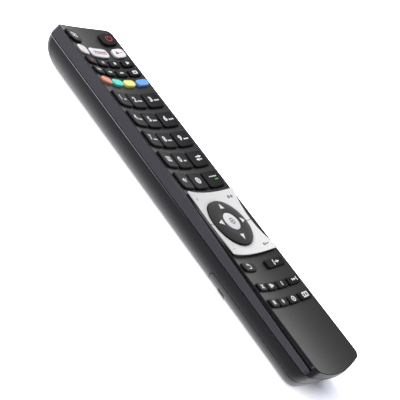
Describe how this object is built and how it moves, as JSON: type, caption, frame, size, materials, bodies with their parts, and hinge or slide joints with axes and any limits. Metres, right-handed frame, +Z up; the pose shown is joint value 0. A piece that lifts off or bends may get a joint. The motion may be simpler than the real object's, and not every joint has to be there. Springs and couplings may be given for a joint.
{
  "type": "tv remote control",
  "caption": "Slim handheld TV remote: hollow dark face with black, white and coloured keys, a white rocker panel round a direction ring, and a sliding battery cover.",
  "frame": {"origin": "middle of the handset at table level, as it lies face up", "axes": "+X across the handset to the power key's side, +Y along it towards the infra-red end, +Z up out of the face"},
  "size_m": [0.047, 0.229, 0.0239],
  "materials": {
    "face_plastic": "satin, finely grained",
    "band_plastic": "satin",
    "case_plastic": "satin",
    "key_black": "satin",
    "key_white": "satin",
    "key_red": "satin",
    "key_green": "satin",
    "key_yellow": "satin",
    "key_blue": "satin",
    "panel_white": "satin",
    "ring_grey": "satin",
    "button_white": "satin",
    "window_plastic": "polished, passes infra-red light",
    "led_resin": "clear moulded resin",
    "silicone": "matt moulded silicone",
    "board_laminate": "lacquered",
    "chip_resin": "moulded resin",
    "component_metal": "drawn cans",
    "carrier_plastic": "moulded",
    "spring_steel": "nickel plated",
    "cell_can": "printed sleeve",
    "screw_steel": "zinc plated"
  },
  "bodies": {
    "housing": {"face_plate": "face_plastic", "top_shell": "band_plastic", "bottom_case": "case_plastic", "ir_window": "window_plastic", "ir_led": "led_resin", "circuit_board": "board_laminate", "controller_chip": "chip_resin", "small_components": "component_metal", "battery_contacts": "spring_steel", "batteries": "cell_can", "case_screws": "screw_steel", "keypad_mat": "silicone"},
    "source_key_body": {"source_key": "key_black"},
    "power_key_body": {"power_key": "key_black"},
    "white_key_left_body": {"white_key_left": "key_white"},
    "white_key_middle_body": {"white_key_middle": "key_white"},
    "white_key_right_body": {"white_key_right": "key_white"},
    "media_key_a1_body": {"media_key_a1": "key_black"},
    "media_key_a2_body": {"media_key_a2": "key_black"},
    "media_key_a3_body": {"media_key_a3": "key_black"},
    "media_key_a4_body": {"media_key_a4": "key_black"},
    "media_key_b1_body": {"media_key_b1": "key_black"},
    "media_key_b2_body": {"media_key_b2": "key_black"},
    "media_key_b3_body": {"media_key_b3": "key_black"},
    "media_key_b4_body": {"media_key_b4": "key_black"},
    "red_key_body": {"red_key": "key_red"},
    "green_key_body": {"green_key": "key_green"},
    "yellow_key_body": {"yellow_key": "key_yellow"},
    "blue_key_body": {"blue_key": "key_blue"},
    "key_1_body": {"key_1": "key_black"},
    "key_2_body": {"key_2": "key_black"},
    "key_3_body": {"key_3": "key_black"},
    "key_4_body": {"key_4": "key_black"},
    "key_5_body": {"key_5": "key_black"},
    "key_6_body": {"key_6": "key_black"},
    "key_7_body": {"key_7": "key_black"},
    "key_8_body": {"key_8": "key_black"},
    "key_9_body": {"key_9": "key_black"},
    "icon_key_body": {"icon_key": "key_black"},
    "key_0_body": {"key_0": "key_black"},
    "swap_key_body": {"swap_key": "key_black"},
    "mute_key_body": {"mute_key": "key_black"},
    "globe_key_body": {"globe_key": "key_black"},
    "menu_key_body": {"menu_key": "key_black"},
    "back_key_body": {"back_key": "key_black"},
    "exit_key_body": {"exit_key": "key_black"},
    "function_key_c1_body": {"function_key_c1": "key_black"},
    "function_key_c2_body": {"function_key_c2": "key_black"},
    "function_key_c3_body": {"function_key_c3": "key_black"},
    "function_key_c4_body": {"function_key_c4": "key_black"},
    "function_key_d1_body": {"function_key_d1": "key_black"},
    "function_key_d2_body": {"function_key_d2": "key_black"},
    "function_key_d3_body": {"function_key_d3": "key_black"},
    "function_key_d4_body": {"function_key_d4": "key_black"},
    "ok_button_body": {"ok_button": "button_white"},
    "upper_rocker_body": {"upper_rocker": "panel_white"},
    "lower_rocker_body": {"lower_rocker": "panel_white"},
    "ring_carrier_body": {"nav_ring_carrier": "carrier_plastic"},
    "nav_ring_body": {"nav_ring": "ring_grey"},
    "battery_cover_body": {"battery_cover": "case_plastic"}
  },
  "joints": [
    {"name": "source_key_press", "type": "slide", "parent": "housing", "child": "source_key_body", "axis": [0, 0, 1], "range_m": [-0.0008, 0], "stiffness_N_per_m": 1200, "deforming": ["keypad_mat"]},
    {"name": "power_key_press", "type": "slide", "parent": "housing", "child": "power_key_body", "axis": [0, 0, 1], "range_m": [-0.0008, 0], "stiffness_N_per_m": 1200, "deforming": ["keypad_mat"]},
    {"name": "white_key_left_press", "type": "slide", "parent": "housing", "child": "white_key_left_body", "axis": [0, 0, 1], "range_m": [-0.0008, 0], "stiffness_N_per_m": 1200, "deforming": ["keypad_mat"]},
    {"name": "white_key_middle_press", "type": "slide", "parent": "housing", "child": "white_key_middle_body", "axis": [0, 0, 1], "range_m": [-0.0008, 0], "stiffness_N_per_m": 1200, "deforming": ["keypad_mat"]},
    {"name": "white_key_right_press", "type": "slide", "parent": "housing", "child": "white_key_right_body", "axis": [0, 0, 1], "range_m": [-0.0008, 0], "stiffness_N_per_m": 1200, "deforming": ["keypad_mat"]},
    {"name": "media_key_a1_press", "type": "slide", "parent": "housing", "child": "media_key_a1_body", "axis": [0, 0, 1], "range_m": [-0.0008, 0], "stiffness_N_per_m": 1200, "deforming": ["keypad_mat"]},
    {"name": "media_key_a2_press", "type": "slide", "parent": "housing", "child": "media_key_a2_body", "axis": [0, 0, 1], "range_m": [-0.0008, 0], "stiffness_N_per_m": 1200, "deforming": ["keypad_mat"]},
    {"name": "media_key_a3_press", "type": "slide", "parent": "housing", "child": "media_key_a3_body", "axis": [0, 0, 1], "range_m": [-0.0008, 0], "stiffness_N_per_m": 1200, "deforming": ["keypad_mat"]},
    {"name": "media_key_a4_press", "type": "slide", "parent": "housing", "child": "media_key_a4_body", "axis": [0, 0, 1], "range_m": [-0.0008, 0], "stiffness_N_per_m": 1200, "deforming": ["keypad_mat"]},
    {"name": "media_key_b1_press", "type": "slide", "parent": "housing", "child": "media_key_b1_body", "axis": [0, 0, 1], "range_m": [-0.0008, 0], "stiffness_N_per_m": 1200, "deforming": ["keypad_mat"]},
    {"name": "media_key_b2_press", "type": "slide", "parent": "housing", "child": "media_key_b2_body", "axis": [0, 0, 1], "range_m": [-0.0008, 0], "stiffness_N_per_m": 1200, "deforming": ["keypad_mat"]},
    {"name": "media_key_b3_press", "type": "slide", "parent": "housing", "child": "media_key_b3_body", "axis": [0, 0, 1], "range_m": [-0.0008, 0], "stiffness_N_per_m": 1200, "deforming": ["keypad_mat"]},
    {"name": "media_key_b4_press", "type": "slide", "parent": "housing", "child": "media_key_b4_body", "axis": [0, 0, 1], "range_m": [-0.0008, 0], "stiffness_N_per_m": 1200, "deforming": ["keypad_mat"]},
    {"name": "red_key_press", "type": "slide", "parent": "housing", "child": "red_key_body", "axis": [0, 0, 1], "range_m": [-0.0008, 0], "stiffness_N_per_m": 1200, "deforming": ["keypad_mat"]},
    {"name": "green_key_press", "type": "slide", "parent": "housing", "child": "green_key_body", "axis": [0, 0, 1], "range_m": [-0.0008, 0], "stiffness_N_per_m": 1200, "deforming": ["keypad_mat"]},
    {"name": "yellow_key_press", "type": "slide", "parent": "housing", "child": "yellow_key_body", "axis": [0, 0, 1], "range_m": [-0.0008, 0], "stiffness_N_per_m": 1200, "deforming": ["keypad_mat"]},
    {"name": "blue_key_press", "type": "slide", "parent": "housing", "child": "blue_key_body", "axis": [0, 0, 1], "range_m": [-0.0008, 0], "stiffness_N_per_m": 1200, "deforming": ["keypad_mat"]},
    {"name": "key_1_press", "type": "slide", "parent": "housing", "child": "key_1_body", "axis": [0, 0, 1], "range_m": [-0.0008, 0], "stiffness_N_per_m": 1200, "deforming": ["keypad_mat"]},
    {"name": "key_2_press", "type": "slide", "parent": "housing", "child": "key_2_body", "axis": [0, 0, 1], "range_m": [-0.0008, 0], "stiffness_N_per_m": 1200, "deforming": ["keypad_mat"]},
    {"name": "key_3_press", "type": "slide", "parent": "housing", "child": "key_3_body", "axis": [0, 0, 1], "range_m": [-0.0008, 0], "stiffness_N_per_m": 1200, "deforming": ["keypad_mat"]},
    {"name": "key_4_press", "type": "slide", "parent": "housing", "child": "key_4_body", "axis": [0, 0, 1], "range_m": [-0.0008, 0], "stiffness_N_per_m": 1200, "deforming": ["keypad_mat"]},
    {"name": "key_5_press", "type": "slide", "parent": "housing", "child": "key_5_body", "axis": [0, 0, 1], "range_m": [-0.0008, 0], "stiffness_N_per_m": 1200, "deforming": ["keypad_mat"]},
    {"name": "key_6_press", "type": "slide", "parent": "housing", "child": "key_6_body", "axis": [0, 0, 1], "range_m": [-0.0008, 0], "stiffness_N_per_m": 1200, "deforming": ["keypad_mat"]},
    {"name": "key_7_press", "type": "slide", "parent": "housing", "child": "key_7_body", "axis": [0, 0, 1], "range_m": [-0.0008, 0], "stiffness_N_per_m": 1200, "deforming": ["keypad_mat"]},
    {"name": "key_8_press", "type": "slide", "parent": "housing", "child": "key_8_body", "axis": [0, 0, 1], "range_m": [-0.0008, 0], "stiffness_N_per_m": 1200, "deforming": ["keypad_mat"]},
    {"name": "key_9_press", "type": "slide", "parent": "housing", "child": "key_9_body", "axis": [0, 0, 1], "range_m": [-0.0008, 0], "stiffness_N_per_m": 1200, "deforming": ["keypad_mat"]},
    {"name": "icon_key_press", "type": "slide", "parent": "housing", "child": "icon_key_body", "axis": [0, 0, 1], "range_m": [-0.0008, 0], "stiffness_N_per_m": 1200, "deforming": ["keypad_mat"]},
    {"name": "key_0_press", "type": "slide", "parent": "housing", "child": "key_0_body", "axis": [0, 0, 1], "range_m": [-0.0008, 0], "stiffness_N_per_m": 1200, "deforming": ["keypad_mat"]},
    {"name": "swap_key_press", "type": "slide", "parent": "housing", "child": "swap_key_body", "axis": [0, 0, 1], "range_m": [-0.0008, 0], "stiffness_N_per_m": 1200, "deforming": ["keypad_mat"]},
    {"name": "mute_key_press", "type": "slide", "parent": "housing", "child": "mute_key_body", "axis": [0, 0, 1], "range_m": [-0.0008, 0], "stiffness_N_per_m": 1200, "deforming": ["keypad_mat"]},
    {"name": "globe_key_press", "type": "slide", "parent": "housing", "child": "globe_key_body", "axis": [0, 0, 1], "range_m": [-0.0008, 0], "stiffness_N_per_m": 1200, "deforming": ["keypad_mat"]},
    {"name": "menu_key_press", "type": "slide", "parent": "housing", "child": "menu_key_body", "axis": [0, 0, 1], "range_m": [-0.0008, 0], "stiffness_N_per_m": 1200, "deforming": ["keypad_mat"]},
    {"name": "back_key_press", "type": "slide", "parent": "housing", "child": "back_key_body", "axis": [0, 0, 1], "range_m": [-0.0008, 0], "stiffness_N_per_m": 1200, "deforming": ["keypad_mat"]},
    {"name": "exit_key_press", "type": "slide", "parent": "housing", "child": "exit_key_body", "axis": [0, 0, 1], "range_m": [-0.0008, 0], "stiffness_N_per_m": 1200, "deforming": ["keypad_mat"]},
    {"name": "function_key_c1_press", "type": "slide", "parent": "housing", "child": "function_key_c1_body", "axis": [0, 0, 1], "range_m": [-0.0008, 0], "stiffness_N_per_m": 1200, "deforming": ["keypad_mat"]},
    {"name": "function_key_c2_press", "type": "slide", "parent": "housing", "child": "function_key_c2_body", "axis": [0, 0, 1], "range_m": [-0.0008, 0], "stiffness_N_per_m": 1200, "deforming": ["keypad_mat"]},
    {"name": "function_key_c3_press", "type": "slide", "parent": "housing", "child": "function_key_c3_body", "axis": [0, 0, 1], "range_m": [-0.0008, 0], "stiffness_N_per_m": 1200, "deforming": ["keypad_mat"]},
    {"name": "function_key_c4_press", "type": "slide", "parent": "housing", "child": "function_key_c4_body", "axis": [0, 0, 1], "range_m": [-0.0008, 0], "stiffness_N_per_m": 1200, "deforming": ["keypad_mat"]},
    {"name": "function_key_d1_press", "type": "slide", "parent": "housing", "child": "function_key_d1_body", "axis": [0, 0, 1], "range_m": [-0.0008, 0], "stiffness_N_per_m": 1200, "deforming": ["keypad_mat"]},
    {"name": "function_key_d2_press", "type": "slide", "parent": "housing", "child": "function_key_d2_body", "axis": [0, 0, 1], "range_m": [-0.0008, 0], "stiffness_N_per_m": 1200, "deforming": ["keypad_mat"]},
    {"name": "function_key_d3_press", "type": "slide", "parent": "housing", "child": "function_key_d3_body", "axis": [0, 0, 1], "range_m": [-0.0008, 0], "stiffness_N_per_m": 1200, "deforming": ["keypad_mat"]},
    {"name": "function_key_d4_press", "type": "slide", "parent": "housing", "child": "function_key_d4_body", "axis": [0, 0, 1], "range_m": [-0.0008, 0], "stiffness_N_per_m": 1200, "deforming": ["keypad_mat"]},
    {"name": "ok_button_press", "type": "slide", "parent": "housing", "child": "ok_button_body", "axis": [0, 0, 1], "range_m": [-0.0008, 0], "stiffness_N_per_m": 1200, "deforming": ["keypad_mat"]},
    {"name": "upper_rocker_tilt", "type": "hinge", "parent": "housing", "child": "upper_rocker_body", "pos_m": [0, -0.02577, 0.0168], "axis": [0, 1, 0], "range_deg": [-1.2, 1.2], "stiffness_Nm_per_rad": 0.5, "deforming": ["keypad_mat"]},
    {"name": "lower_rocker_tilt", "type": "hinge", "parent": "housing", "child": "lower_rocker_body", "pos_m": [0, -0.02577, 0.0168], "axis": [0, 1, 0], "range_deg": [-1.2, 1.2], "stiffness_Nm_per_rad": 0.5, "deforming": ["keypad_mat"]},
    {"name": "ring_tilt_along", "type": "hinge", "parent": "housing", "child": "ring_carrier_body", "pos_m": [0, -0.02577, 0.01685], "axis": [1, 0, 0], "range_deg": [-1.5, 1.5], "stiffness_Nm_per_rad": 0.13, "deforming": ["keypad_mat"]},
    {"name": "ring_tilt_across", "type": "hinge", "parent": "ring_carrier_body", "child": "nav_ring_body", "pos_m": [0, -0.02577, 0.01685], "axis": [0, 1, 0], "range_deg": [-1.5, 1.5], "stiffness_Nm_per_rad": 0.13, "deforming": ["keypad_mat"]},
    {"name": "battery_cover_slide", "type": "slide", "parent": "housing", "child": "battery_cover_body", "axis": [0, -1, 0], "range_m": [0, 0.072]}
  ]
}
